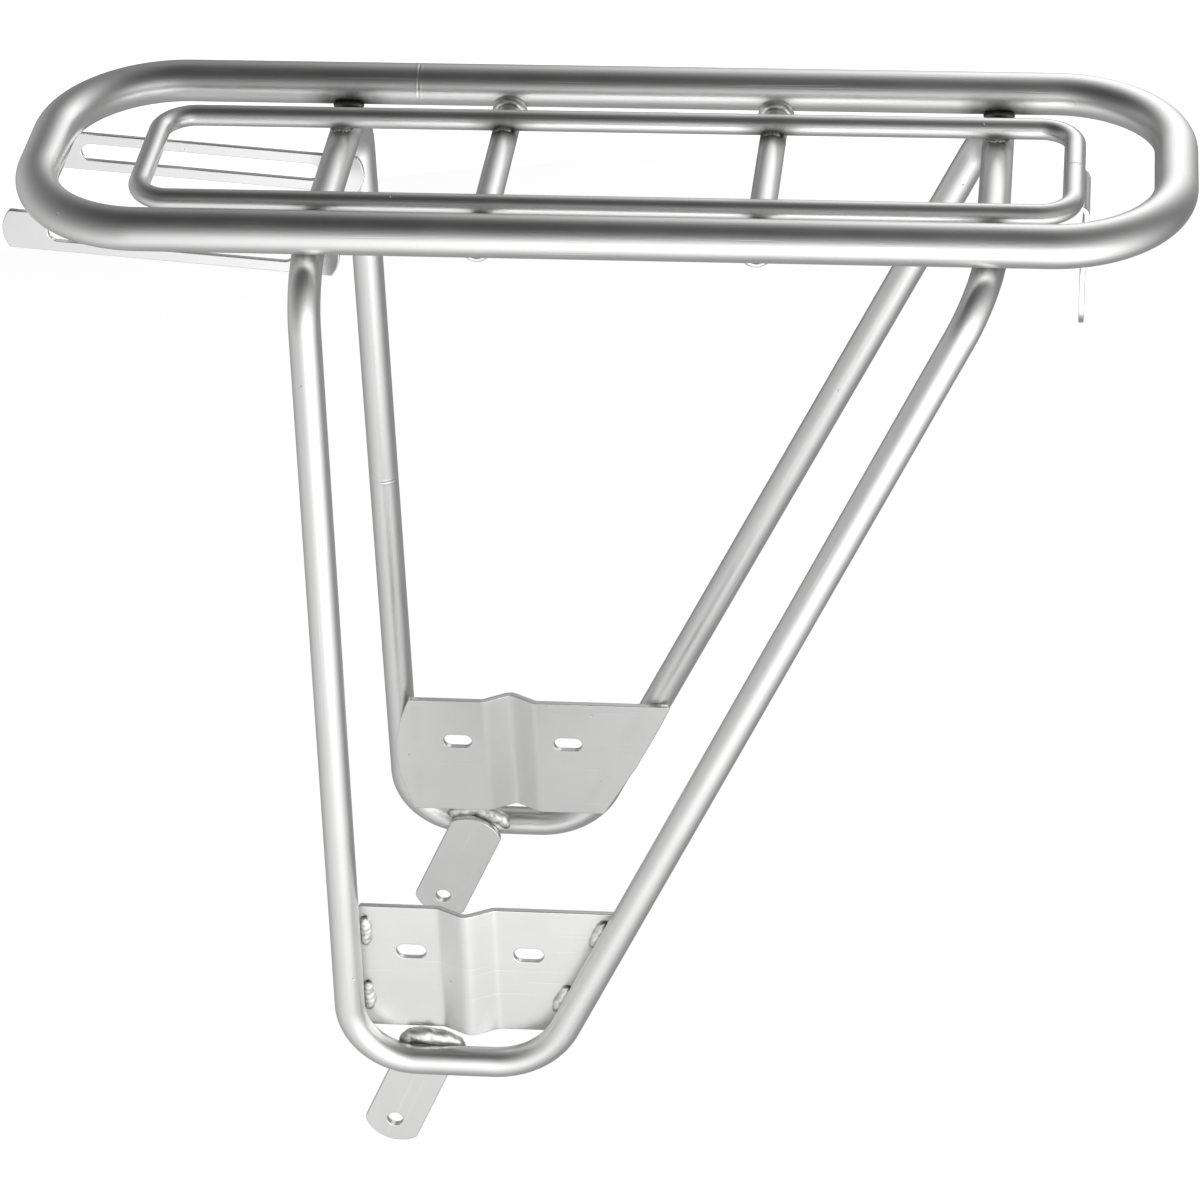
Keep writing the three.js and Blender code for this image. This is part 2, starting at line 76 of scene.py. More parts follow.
def make_camera():
    cy, sy = math.cos(CAMERA_YAW), math.sin(CAMERA_YAW)
    cp, sp = math.cos(CAMERA_PITCH), math.sin(CAMERA_PITCH)
    cr, sr = math.cos(CAMERA_ROLL), math.sin(CAMERA_ROLL)
    ahead = Vector((sy * cp, cy * cp, -sp))
    level_right = Vector((cy, -sy, 0))
    level_down = ahead.cross(level_right)
    right = level_right * cr + level_down * sr
    down = level_down * cr - level_right * sr
    data = bpy.data.cameras.new("camera")
    data.lens = CAMERA_LENS
    data.sensor_width = 36
    data.clip_end = 50
    camera = bpy.data.objects.new("camera", data)
    turn = Matrix((right, -down, -ahead)).transposed().to_4x4()
    camera.matrix_world = Matrix.Translation(CAMERA_AT) @ turn
    bpy.context.scene.collection.objects.link(camera)
    bpy.context.scene.camera = camera


# ---------------------------------------------------------------- node helpers
class Nodes:
    """A short way to write a shader tree: each call makes a node, sets its inputs and returns its output."""

    def __init__(self, tree):
        self.tree = tree

    def feed(self, socket, value):
        if isinstance(value, bpy.types.NodeSocket):
            self.tree.links.new(value, socket)
        else:
            socket.default_value = value

    def make(self, kind, inputs=(), output=0, **settings):
        node = self.tree.nodes.new(kind)
        for key, value in settings.items():
            setattr(node, key, value)
        for key, value in dict(inputs).items():
            self.feed(node.inputs[key], value)
        return node.outputs[output]

    def math(self, operation, a, b=0.0, clamp=False):
        return self.make("ShaderNodeMath", {0: a, 1: b}, operation=operation, use_clamp=clamp)

    def vector(self, operation, a, b=(0, 0, 0), output=0):
        return self.make("ShaderNodeVectorMath", {0: a, 1: b}, output, operation=operation)

    def noise(self, vector, scale, detail=2.0, roughness=0.5):
        return self.make(
            "ShaderNodeTexNoise",
            {"Vector": vector, "Scale": scale, "Detail": detail, "Roughness": roughness},
        )

    def ramp(self, value, low, high, to_low=0.0, to_high=1.0):
        return self.make(
            "ShaderNodeMapRange",
            {"Value": value, "From Min": low, "From Max": high, "To Min": to_low, "To Max": to_high},
            interpolation_type="SMOOTHSTEP",
        )

    def mix(self, share, a, b):
        node = self.tree.nodes.new("ShaderNodeMix")
        node.data_type = "RGBA"
        self.feed(node.inputs[0], share)
        self.feed(node.inputs[6], a)
        self.feed(node.inputs[7], b)
        return node.outputs[2]


# ---------------------------------------------------------------- light and floor
# Soft lights of the studio, as patches of brightness on a tent round the rack: compass angle from +Y towards
# +X, height, half width (all in degrees) and brightness.
SOFT_LIGHTS = {
    "front_sweep": (168, 0, 26, 1.75),
    "right_front": (135, -9, 33, 1.24),
    "left_front": (-112, -15, 36, 0.61),
    "front_low": (-153, -34, 24, 0.47),
    "left_card": (-60, 14, 24, 0.40),
    "back_box": (25, 37, 22, 1.58),
    "right_high": (80, 61, 24, 0.10),
    "back_low": (37, -18, 28, 0.17),
    "under": (-15, -63, 46, 0.34),
}
TENT_MIDDLE = (0.09, 0.0, 0.2)
TENT_RADIUS = 0.8
BACKDROP = (0.985, 0.985, 0.985, 1)
FLOOR_REACH = 6.0
FLOOR_GAP = 0.4 * MM         # between the lowest point and the floor
FLOOR_GLOW = 0.80            # keeps the floor near white all over


def make_world():
    world = bpy.data.worlds.new("studio")
    bpy.context.scene.world = world
    world.use_nodes = True
    background = world.node_tree.nodes["Background"]
    background.inputs["Color"].default_value = BACKDROP


def make_light_tent():
    """A glowing round tent that only lights the rack: it is not seen itself."""
    bpy.ops.mesh.primitive_uv_sphere_add(
        segments=96, ring_count=48, radius=TENT_RADIUS, location=TENT_MIDDLE,
    )
    tent = bpy.context.object
    tent.name = "light_tent"
    material = bpy.data.materials.new("tent_glow")
    material.use_nodes = True
    material.node_tree.nodes.clear()
    n = Nodes(material.node_tree)
    place = n.make("ShaderNodeTexCoord", output=3)
    direction = n.vector("NORMALIZE", place)
    total = 0.0
    for compass, height, half_width, brightness in SOFT_LIGHTS.values():
        a, h = math.radians(compass), math.radians(height)
        axis = (math.sin(a) * math.cos(h), math.cos(a) * math.cos(h), math.sin(h))
        sharpness = math.log(2) / (1 - math.cos(math.radians(half_width)))
        toward = n.vector("DOT_PRODUCT", direction, axis, output=1)
        fall = n.math("EXPONENT", n.math("MULTIPLY", n.math("SUBTRACT", toward, 1.0), sharpness))
        total = n.math("ADD", n.math("MULTIPLY", fall, brightness), total)
    light = n.make("ShaderNodeEmission", {"Color": (1, 1, 1, 1), "Strength": total})
    out = n.tree.nodes.new("ShaderNodeOutputMaterial")
    n.feed(out.inputs["Surface"], light)
    tent.data.materials.append(material)
    tent.visible_camera = False
    tent.visible_shadow = False


def make_floor():
    """A pale floor just under the lowest point. The metal mirrors the soft lights, not the floor."""
    level = cad_box[0][2] - FLOOR_GAP
    mesh = bpy.data.meshes.new("studio_floor")
    corners = [(-1, -1), (1, -1), (1, 1), (-1, 1)]
    places = [(x * FLOOR_REACH, y * FLOOR_REACH, level) for x, y in corners]
    mesh.from_pydata(places, [], [(0, 1, 2, 3)])
    floor = bpy.data.objects.new("studio_floor", mesh)
    bpy.context.scene.collection.objects.link(floor)
    material = bpy.data.materials.new("pale_floor")
    material.use_nodes = True
    n = Nodes(material.node_tree)
    shader = material.node_tree.nodes["Principled BSDF"]
    place = n.make("ShaderNodeTexCoord", output=3)
    tone = n.ramp(n.noise(place, 1.3, 3.0), 0.3, 0.7, 0.5, 0.53)
    n.feed(shader.inputs["Base Color"], n.make("ShaderNodeCombineColor", {0: tone, 1: tone, 2: tone}))
    shader.inputs["Roughness"].default_value = 0.9
    shader.inputs["Specular IOR Level"].default_value = 0.0
    shader.inputs["Emission Color"].default_value = (1, 1, 1, 1)
    shader.inputs["Emission Strength"].default_value = FLOOR_GLOW
    mesh.materials.append(material)
    floor.visible_glossy = False
    floor.visible_diffuse = False


# ---------------------------------------------------------------- materials
def metal(name, tint, roughness, soot_and_shade_tint, grain_depth, streak_share):
    """Bare metal. The point attribute "grain" runs along each piece in metres, so fine drawing lines follow
    the tube or sheet, and the attribute of weld soot and painted shade is about 1 beside the sootiest welds
    and 0 away from them: it darkens the colour with soot and with painted shade where parts meet and shadow
    each other. Noise scales are per metre: 45 gives clouds some 20 mm wide, 2600 a grain of less than half a
    millimetre."""
    material = bpy.data.materials.new(name)
    material.use_nodes = True
    n = Nodes(material.node_tree)
    shader = material.node_tree.nodes["Principled BSDF"]
    grain = n.make("ShaderNodeAttribute", output=1, attribute_name="grain")
    soot_and_shade = n.make("ShaderNodeAttribute", output=2, attribute_name="soot_and_shade")

    cloud = n.noise(grain, 45.0, 3.0)
    fine = n.noise(grain, 1600.0, 3.0, 0.6)
    stretched = n.vector("MULTIPLY", grain, (1.0, 1.0, 0.035))
    streaks = n.noise(stretched, 2600.0, 2.0, 0.6)
    scratches = n.ramp(n.noise(n.vector("MULTIPLY", grain, (1.0, 1.0, 0.02)), 900.0, 1.0), 0.66, 0.74)
    pits = n.make(
        "ShaderNodeTexVoronoi", {"Vector": grain, "Scale": 130.0, "Randomness": 1.0}, feature="F1",
    )
    pit = n.ramp(pits, 0.02, 0.07, 1.0, 0.0)
    rare = n.ramp(n.noise(grain, 60.0, 0.0), 0.60, 0.66)
    pit = n.math("MULTIPLY", pit, rare)

    def toned(share):
        return (*[min(1, c * share) for c in tint], 1)

    clean = n.mix(n.ramp(cloud, 0.3, 0.7), toned(0.965), toned(1))
    clean = n.mix(n.math("MULTIPLY", streaks, streak_share), clean, toned(0.86))
    worn = n.mix(n.math("MULTIPLY", scratches, 0.35), clean, toned(1.08))
    edge_noise = n.ramp(n.noise(grain, 240.0, 3.0), 0.2, 0.8, 0.8, 1.15)
    # painted shade: beside the welds the colour goes towards the dark tint, for weld soot and for the shade
    # where parts meet and shadow each other
    sooted_and_shaded = n.math("MULTIPLY", soot_and_shade, edge_noise, clamp=True)
    n.feed(shader.inputs["Base Color"], n.mix(sooted_and_shaded, worn, (*soot_and_shade_tint, 1)))

    shader.inputs["Metallic"].default_value = 1.0
    rough = n.ramp(cloud, 0.25, 0.75, roughness - 0.02, roughness + 0.025)
    rough = n.math("ADD", rough, n.math("MULTIPLY", n.math("SUBTRACT", fine, 0.5), 0.08))
    rough = n.math("ADD", rough, n.math("MULTIPLY", scratches, 0.06))
    rough = n.math("ADD", rough, n.math("MULTIPLY", sooted_and_shaded, 0.22))
    n.feed(shader.inputs["Roughness"], rough)

    height = n.math("MULTIPLY", streaks, 0.6)
    height = n.math("ADD", height, n.math("MULTIPLY", fine, 0.6))
    height = n.math("SUBTRACT", height, n.math("MULTIPLY", pit, 6.0))
    height = n.math("SUBTRACT", height, n.math("MULTIPLY", scratches, 0.5))
    bump = n.make("ShaderNodeBump", {"Height": height, "Distance": grain_depth, "Strength": 0.6})
    n.feed(shader.inputs["Normal"], bump)
    return material


def weld_metal(name, tint, dark):
    """Cast-looking weld metal with spatter pits, in painted light and shade: dark in the ripple valleys and
    on beads that sit in shade, brighter on the crests.
    """
    material = bpy.data.materials.new(name)
    material.use_nodes = True
    n = Nodes(material.node_tree)
    shader = material.node_tree.nodes["Principled BSDF"]
    place = n.make("ShaderNodeTexCoord", output=3)
    crest = n.make("ShaderNodeAttribute", output=2, attribute_name="crest")
    speckle = n.noise(place, 1500.0, 4.0, 0.65)
    cloud = n.noise(place, 260.0, 3.0)
    # painted shade: the colour is dark where the crest attribute is low, in the ripple valleys and on beads
    # in shade, and light on the crests
    shade = n.math("MULTIPLY", n.ramp(crest, 0.0, 0.8, 0.0, 1.0), n.ramp(cloud, 0.25, 0.7, 0.6, 1.0))
    n.feed(shader.inputs["Base Color"], n.mix(shade, (*dark, 1), (*tint, 1)))
    shader.inputs["Metallic"].default_value = 1.0
    rough = n.math("ADD", n.ramp(cloud, 0.2, 0.8, 0.24, 0.42), n.math("MULTIPLY", speckle, 0.12))
    n.feed(shader.inputs["Roughness"], rough)
    bump = n.make("ShaderNodeBump", {"Height": speckle, "Distance": 0.00012, "Strength": 0.5})
    n.feed(shader.inputs["Normal"], bump)
    return material


# ---------------------------------------------------------------- mesh helpers
weld_points = []             # points on the weld beads: x, y, z, strength and reach of the soot and painted shade round them


def soot_and_shade_at(points):
    """How much soot and painted shade each point gets: a bead's own strength on it, falling to 0 at its
    reach.
    """
    beads = np.array(weld_points)
    soot_and_shade = np.zeros(len(points))
    for start in range(0, len(points), 4000):
        part = points[start:start + 4000]
        gaps = np.linalg.norm(part[:, None, :] - beads[None, :, :3], axis=2)
        cover = np.clip(1.0 - gaps / beads[:, 4], 0.0, 1.0) ** 1.5 * beads[:, 3]
        soot_and_shade[start:start + 4000] = cover.max(1)
    return soot_and_shade


def finish_piece(name, points, faces, material, node, attributes):
    mesh = bpy.data.meshes.new(name)
    mesh.from_pydata([tuple(p) for p in points], [], faces)
    for key, values in attributes.items():
        kind = "FLOAT_VECTOR" if values.ndim == 2 else "FLOAT"
        field = "vector" if values.ndim == 2 else "value"
        layer = mesh.attributes.new(key, kind, "POINT")
        layer.data.foreach_set(field, values.astype(np.float32).ravel())
    mesh.polygons.foreach_set("use_smooth", [True] * len(mesh.polygons))
    mesh.materials.append(material)
    mesh.update()
    piece = bpy.data.objects.new(name, mesh)
    bpy.context.scene.collection.objects.link(piece)
    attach(piece, "root")
    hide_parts(node)
    return piece


SAME_POINT = 0.02 * MM       # path points closer than this count as one


def unit(v):
    return v / np.linalg.norm(v)


def rounded_path(corners, radii, straight_step=6 * MM, turn_step=math.radians(3), closed=True):
    """Points along straight runs whose corners are rounded, each by an arc of its own radius."""
    corners = [np.array(c, float) for c in corners]
    count = len(corners)
    arcs = []
    for i, corner in enumerate(corners):
        if not closed and i in (0, count - 1):
            arcs.append([corner])
            continue
        back = unit(corners[i - 1] - corner)
        ahead = unit(corners[(i + 1) % count] - corner)
        half = math.acos(np.clip(back @ ahead, -1, 1)) / 2
        centre = corner + unit(back + ahead) * radii[i] / math.sin(half)
        arm = corner + back * radii[i] / math.tan(half) - centre
        sweep = math.pi - 2 * half
        steps = max(2, math.ceil(sweep / turn_step))
        turns = [sweep * k / steps for k in range(steps + 1)]
        arcs.append([centre + arm * math.cos(a) - back * radii[i] * math.sin(a) for a in turns])
    points = []
    for i, arc in enumerate(arcs):
        points.extend(arc)
        if not closed and i == count - 1:
            break
        start, end = arc[-1], arcs[(i + 1) % count][0]
        pieces = max(1, round(np.linalg.norm(end - start) / straight_step))
        points.extend(start + (end - start) * k / pieces for k in range(1, pieces))
    kept = [points[0]]
    for point in points[1:]:
        if np.linalg.norm(point - kept[-1]) > SAME_POINT:
            kept.append(point)
    if closed and np.linalg.norm(kept[-1] - kept[0]) < SAME_POINT:
        kept.pop()
    return np.array(kept)


def start_at(points, place):
    """A closed path turned round so that it starts at place, which lies on one of its straight runs."""
    place = np.array(place, float)
    ends = np.roll(points, -1, axis=0)
    along = ends - points
    share = ((place - points) * along).sum(1) / (along ** 2).sum(1)
    foot = points + along * np.clip(share, 0, 1)[:, None]
    nearest = int(np.linalg.norm(foot - place, axis=1).argmin())
    rolled = np.roll(points, -nearest - 1, axis=0)
    return np.vstack([foot[nearest][None], rolled])


def arc_lengths(points, closed):
    steps = np.linalg.norm(np.diff(points, axis=0), axis=1)
    lengths = np.concatenate([[0], np.cumsum(steps)])
    total = lengths[-1] + (np.linalg.norm(points[0] - points[-1]) if closed else 0)
    return lengths, total


def tangents_of(points, closed):
    ahead = np.roll(points, -1, axis=0) - points
    behind = points - np.roll(points, 1, axis=0)
    if not closed:
        ahead[-1] = behind[-1]
        behind[0] = ahead[0]
    ahead /= np.linalg.norm(ahead, axis=1)[:, None]
    behind /= np.linalg.norm(behind, axis=1)[:, None]
    both = ahead + behind
    return both / np.linalg.norm(both, axis=1)[:, None]


def frames_along(points, up):
    """A steady pair of cross directions round a closed path, the leftover twist spread over its length."""
    tangents = tangents_of(points, True)
    lengths, total = arc_lengths(points, True)
    firsts = []
    normal = np.array(up, float)
    for tangent in tangents:
        normal = unit(normal - tangent * (normal @ tangent))
        firsts.append(normal)
    firsts = np.array(firsts)
    seconds = np.cross(tangents, firsts)
    last = unit(normal - tangents[0] * (normal @ tangents[0]))
    twist = math.atan2(last @ seconds[0], last @ firsts[0])
    turn = -twist * lengths / total
    c, s = np.cos(turn)[:, None], np.sin(turn)[:, None]
    return firsts * c + seconds * s, seconds * c - firsts * s, lengths, total


def loop_faces(rings, sides, closed):
    faces = []
    for i in range(rings if closed else rings - 1):
        j = (i + 1) % rings
        for k in range(sides):
            m = (k + 1) % sides
            faces.append((i * sides + k, i * sides + m, j * sides + m, j * sides + k))
    return faces


def flipped_if_inside_out(points, faces):
    volume = 0.0
    for face in faces:
        a = points[face[0]]
        for b, c in zip(face[1:-1], face[2:]):
            volume += a @ np.cross(points[b], points[c])
    return [tuple(reversed(f)) for f in faces] if volume < 0 else faces


# ---------------------------------------------------------------- bent tubes
SEAM_DEPTH = 0.08 * MM       # a ground butt weld: a fine groove between two low lips
SEAM_WIDTH = 0.25 * MM
LIP_HEIGHT = 0.045 * MM
LIP_AT = 0.8 * MM
LIP_WIDTH = 0.4 * MM
SEAM_REACH = 2.2 * MM        # how far from the seam its profile is followed, in this many stations
SEAM_STATIONS = 16


def seam_profile(distance):
    groove = -SEAM_DEPTH * np.exp(-(distance / SEAM_WIDTH) ** 2)
    lips = LIP_HEIGHT * np.exp(-((np.abs(distance) - LIP_AT) / LIP_WIDTH) ** 2)
    return groove + lips


def bent_tube(name, node, corners, radii, radius, sides, seam, material):
    """A closed loop of tube that starts and ends at its butt seam."""
    points = start_at(rounded_path(corners, radii), seam)
    lengths, total = arc_lengths(points, True)
    fine = np.linspace(0, SEAM_REACH, SEAM_STATIONS)
    stations = np.unique(np.concatenate([lengths, fine, total - fine[1:]]))
    stations = stations[np.concatenate([[True], np.diff(stations) > 0.05 * MM])]
    closed_points = np.vstack([points, points[:1]])
    closed_lengths = np.append(lengths, total)
    points = np.stack([np.interp(stations, closed_lengths, closed_points[:, k]) for k in range(3)], 1)
    first, second, lengths, total = frames_along(points, (0.1, 0.2, 1))
    distance = np.minimum(lengths, total - lengths)
    swell = radius + seam_profile(distance)
    angles = 2 * math.pi * np.arange(sides) / sides
    c, s = np.cos(angles), np.sin(angles)
    ring = first[:, None] * c[None, :, None] + second[:, None] * s[None, :, None]
    vertices = (points[:, None] + ring * swell[:, None, None]).reshape(-1, 3)
    grain = np.empty((len(points), sides, 3))
    grain[..., 0] = radius * c
    grain[..., 1] = radius * s
    grain[..., 2] = lengths[:, None]
    faces = flipped_if_inside_out(vertices, loop_faces(len(points), sides, True))
    attributes = {"grain": grain.reshape(-1, 3), "soot_and_shade": soot_and_shade_at(vertices)}
    return finish_piece(name, vertices, faces, material, node, attributes)


def pressed_by_rail(vertices):
    """Sinks the top of a cross tube round the rail that is seated in it."""
    vertices = vertices.copy()
    for sign in SIDES.values():
        dy, dz = vertices[:, 1] - sign * RAIL_Y, vertices[:, 2] - RAIL_Z
        distance = np.hypot(dy, dz)
        pushed = distance + SEAT_ROUND * np.logaddexp(0, (SEAT_R - distance) / SEAT_ROUND)
        share = pushed / np.maximum(distance, 1e-6)
        vertices[:, 1] = sign * RAIL_Y + dy * share
        vertices[:, 2] = RAIL_Z + dz * share
    return vertices


def straight_tube(name, node, start, end, radius, wall, sides, material):
    """A cross tube with rounded rims and a blind bore a little way in from each end, seated for the rail.
    Its outside has a ring every half millimetre, which the seats need."""
    start, end = np.array(start, float), np.array(end, float)
    axis = unit(end - start)
    length = np.linalg.norm(end - start)
    rim = 0.3 * MM
    depth = 12 * MM
    bore = radius - wall
    outside = np.arange(rim, length - rim / 2, 0.5 * MM)
    half = [(1e-6, depth), (bore, depth), (bore, rim), (bore + rim / 3, rim / 3), (bore + rim, 0)]
    half += [(radius - rim, 0), (radius - rim / 3, rim / 3)]
    profile = half + [(radius, z) for z in outside]
    profile += [(radius, length - rim)]
    profile += [(r, length - z) for r, z in reversed(half)]
    first = unit(np.cross(axis, (0.3, 0.1, 1)))
    second = np.cross(axis, first)
    angles = 2 * math.pi * np.arange(sides) / sides
    vertices, grain = [], []
    for r, z in profile:
        for a in angles:
            vertices.append(start + axis * z + first * r * math.cos(a) + second * r * math.sin(a))
            grain.append((radius * math.cos(a), radius * math.sin(a), z))
    vertices = pressed_by_rail(np.array(vertices))
    faces = loop_faces(len(profile), sides, False)
    faces += [tuple(range(sides - 1, -1, -1))]
    faces += [tuple(range((len(profile) - 1) * sides, len(profile) * sides))]
    faces = flipped_if_inside_out(vertices, faces)
    attributes = {"grain": np.array(grain), "soot_and_shade": soot_and_shade_at(vertices)}
    return finish_piece(name, vertices, faces, material, node, attributes)


# ---------------------------------------------------------------- sheet parts
FIRST_TURN = 0.03            # radians: a rounded edge starts with this small turn, so the flat shades flat


def signed_area(loop):
    nxt = np.roll(loop, -1, axis=0)
    return (loop[:, 0] * nxt[:, 1] - nxt[:, 0] * loop[:, 1]).sum() / 2


def outline(corners, radii, hole=False, step=1.5 * MM):
    """A flat closed outline with rounded corners: counter-clockwise, or clockwise for a hole."""
    flat = [(x, y, 0) for x, y in corners]
    loop = rounded_path(flat, radii, straight_step=step, turn_step=math.radians(9))[:, :2]
    return loop if (signed_area(loop) > 0) != hole else loop[::-1]


def circle(x, y, radius, count=40):
    angles = -2 * math.pi * np.arange(count) / count
    return np.stack([x + radius * np.cos(angles), y + radius * np.sin(angles)], 1)


def moved_in(loop, amount):
    """The outline moved into the metal by amount, which lies on its left."""
    ahead = np.roll(loop, -1, axis=0) - loop
    ahead /= np.linalg.norm(ahead, axis=1)[:, None]
    left = np.stack([-ahead[:, 1], ahead[:, 0]], 1)
    both = left + np.roll(left, 1, axis=0)
    return loop + both * (2 * amount / (both ** 2).sum(1))[:, None]


def inside(loop, points):
    x, y = points[:, 0], points[:, 1]
    hit = np.zeros(len(points), bool)
    for a, b in zip(loop, np.roll(loop, -1, axis=0)):
        spans = (a[1] > y) != (b[1] > y)
        slope = (b[0] - a[0]) / (b[1] - a[1]) if b[1] != a[1] else 0.0
        hit ^= spans & (x < a[0] + (y - a[1]) * slope)
    return hit


def filled(loops, spacing):
    """Even triangles over the outer loop less its holes: the added inner points and the triangles."""
    lo, hi = loops[0].min(0), loops[0].max(0)
    rows = np.arange(lo[1] + spacing / 2, hi[1], spacing * 0.87)
    grid = [
        (x + (spacing / 2 if r % 2 else 0), y)
        for r, y in enumerate(rows) for x in np.arange(lo[0] + spacing / 4, hi[0], spacing)
    ]
    grid = np.array(grid)
    keep = inside(loops[0], grid)
    for hole in loops[1:]:
        keep &= ~inside(hole, grid)
    edge_points = np.vstack(loops)
    gaps = np.linalg.norm(grid[:, None] - edge_points[None], axis=2).min(1)
    grid = grid[keep & (gaps > spacing * 0.6)]
    points = np.vstack([edge_points, grid])
    edges, first = [], 0
    for loop in loops:
        edges += [(first + i, first + (i + 1) % len(loop)) for i in range(len(loop))]
        first += len(loop)
    result = delaunay_2d_cdt([Vector(p) for p in points], edges, [], 0, 1e-9)
    placed = np.array([tuple(v) for v in result[0]])
    assert len(placed) == len(points) and np.abs(placed - points).max() < 1e-6
    triangles = np.array(result[2])
    middles = placed[triangles].mean(1)
    good = inside(loops[0], middles)
    for hole in loops[1:]:
        good &= ~inside(hole, middles)
    return grid, [tuple(t) for t in triangles[good]]


def sheet(name, node, loops, thickness, edge, spacing, place, material):
    """A sheet part with rounded edges. loops are its outline and holes, flat; place bends the flat sheet
    into shape: it takes arrays of x, y and height above the middle of the sheet."""
    inner = [moved_in(loop, edge) for loop in loops]
    grid, triangles = filled(inner, spacing)
    skin = np.vstack(inner + [grid])
    count = len(skin)
    top = thickness / 2
    flat = [np.column_stack([skin, np.full(count, h)]) for h in (top, -top)]
    faces = list(triangles) + [tuple(count + i for i in reversed(t)) for t in triangles]
    turns = [FIRST_TURN] + [math.pi / 8 * k for k in (1, 2, 3, 4)]
    levels = [(math.sin(a), top - edge + edge * math.cos(a)) for a in turns]
    levels += [(share, -h) for share, h in reversed(levels)]
    first, total = 0, 2 * count
    for loop, shrunk in zip(loops, inner):
        size = len(loop)
        rings = [np.arange(first, first + size)]
        for share, h in levels:
            flat.append(np.column_stack([shrunk + (loop - shrunk) * share, np.full(size, h)]))
            rings.append(np.arange(total, total + size))
            total += size
        rings.append(np.arange(count + first, count + first + size))
        for upper, lower in zip(rings[:-1], rings[1:]):
            for i in range(size):
                j = (i + 1) % size
                faces.append((upper[i], lower[i], lower[j], upper[j]))
        first += size
    flat = np.vstack(flat)
    vertices = place(flat[:, 0], flat[:, 1], flat[:, 2])
    faces = flipped_if_inside_out(vertices, [tuple(int(i) for i in f) for f in faces])
    attributes = {"grain": flat[:, [2, 1, 0]], "soot_and_shade": soot_and_shade_at(vertices)}
    return finish_piece(name, vertices, faces, material, node, attributes)


def arc_ended(length, half, end_radius, corner_radius):
    """Corners and radii of a bar whose two ends are wide arcs, its ends at 0 and length along x."""
    lean = math.asin(half / end_radius)
    depth = end_radius * (1 - math.cos(lean))
    arc = end_radius * 0.95      # a little under, so that the arc fits between its corners
    over = arc * (1 / math.cos(lean) - 1)
    corners = [
        (depth, -half), (length - depth, -half), (length + over, 0),
        (length - depth, half), (depth, half), (-over, 0),
    ]
    return corners, [corner_radius, corner_radius, arc, corner_radius, corner_radius, arc]


def slot_hole(x, y, length, width):
    a, b = length / 2, width / 2
    corners = [(x - a, y - b), (x + a, y - b), (x + a, y + b), (x - a, y + b)]
    almost_round = b * 0.995
    return outline(corners, [almost_round] * 4, hole=True)


# ---------------------------------------------------------------- weld beads
BEAD_SIDES = 22
BEAD_STEP = 0.25 * MM
RIPPLE = 0.07                # heights of the ripples and lumps, as shares of a bead's size
LUMP = 0.035


def bead(name, node, points, half_width, half_height, up, pitch, seed, closed, taper, painted_light_share):
    """A weld bead along a path: overlapping ripples like a row of coins, tapering off at open ends. The
    attribute "crest" is high on the ripples and low between them, and the last argument scales it down: it
    paints shade in the ripple valleys and at the tapered ends, and darkens whole beads that sit in shade
    under other parts."""
    points = np.array(points, float)
    draw = np.random.default_rng(seed)
    if not closed:
        lengths, total = arc_lengths(points, False)
        at = np.linspace(0, total, max(14, round(total / BEAD_STEP)))
        points = np.stack([np.interp(at, lengths, points[:, k]) for k in range(3)], 1)
    tangents = tangents_of(points, closed)
    lengths, total = arc_lengths(points, closed)
    up = np.array(up, float)
    ups = np.broadcast_to(up, points.shape) if up.ndim == 1 else up
    ups = ups - tangents * (ups * tangents).sum(1)[:, None]
    ups /= np.linalg.norm(ups, axis=1)[:, None]
    across = np.cross(tangents, ups)
    angles = 2 * math.pi * np.arange(BEAD_SIDES) / BEAD_SIDES
    c, s = np.cos(angles), np.sin(angles)
    share = lengths / total
    fade = np.ones(len(points)) if closed else (1 - np.abs(2 * share - 1) ** taper) ** (1 / 2.2)
    fade = np.maximum(fade, 0.02)
    count = max(2, round(total / pitch))
    lag = 0.7 * s[None, :] ** 2
    wave = np.abs(np.sin(math.pi * (share[:, None] * count - lag))) ** 0.7
    lumps = sum(
        LUMP * np.sin(2 * math.pi * (share[:, None] * k * (1 if closed else 0.7) + draw.random())
                       + angles[None, :] * j)
        for k, j in ((1, 1), (2, 2), (3, 1), (5, 3))
    )
    swell = fade[:, None] * (0.94 + RIPPLE * wave + lumps)
    wide = across[:, None] * (half_width * c)[None, :, None]
    high = ups[:, None] * (half_height * s)[None, :, None]
    vertices = (points[:, None] + (wide + high) * swell[..., None]).reshape(-1, 3)
    faces = loop_faces(len(points), BEAD_SIDES, closed)
    if not closed:
        faces += [tuple(range(BEAD_SIDES - 1, -1, -1))]
        faces += [tuple(range((len(points) - 1) * BEAD_SIDES, len(points) * BEAD_SIDES))]
    faces = flipped_if_inside_out(vertices, faces)
    # painted shade: low crest values make the bead's colour dark
    crest = ((0.6 + 0.4 * wave) * fade[:, None]).reshape(-1) * painted_light_share
    return finish_piece(name, vertices, faces, BEAD_METAL, node, {"crest": crest})


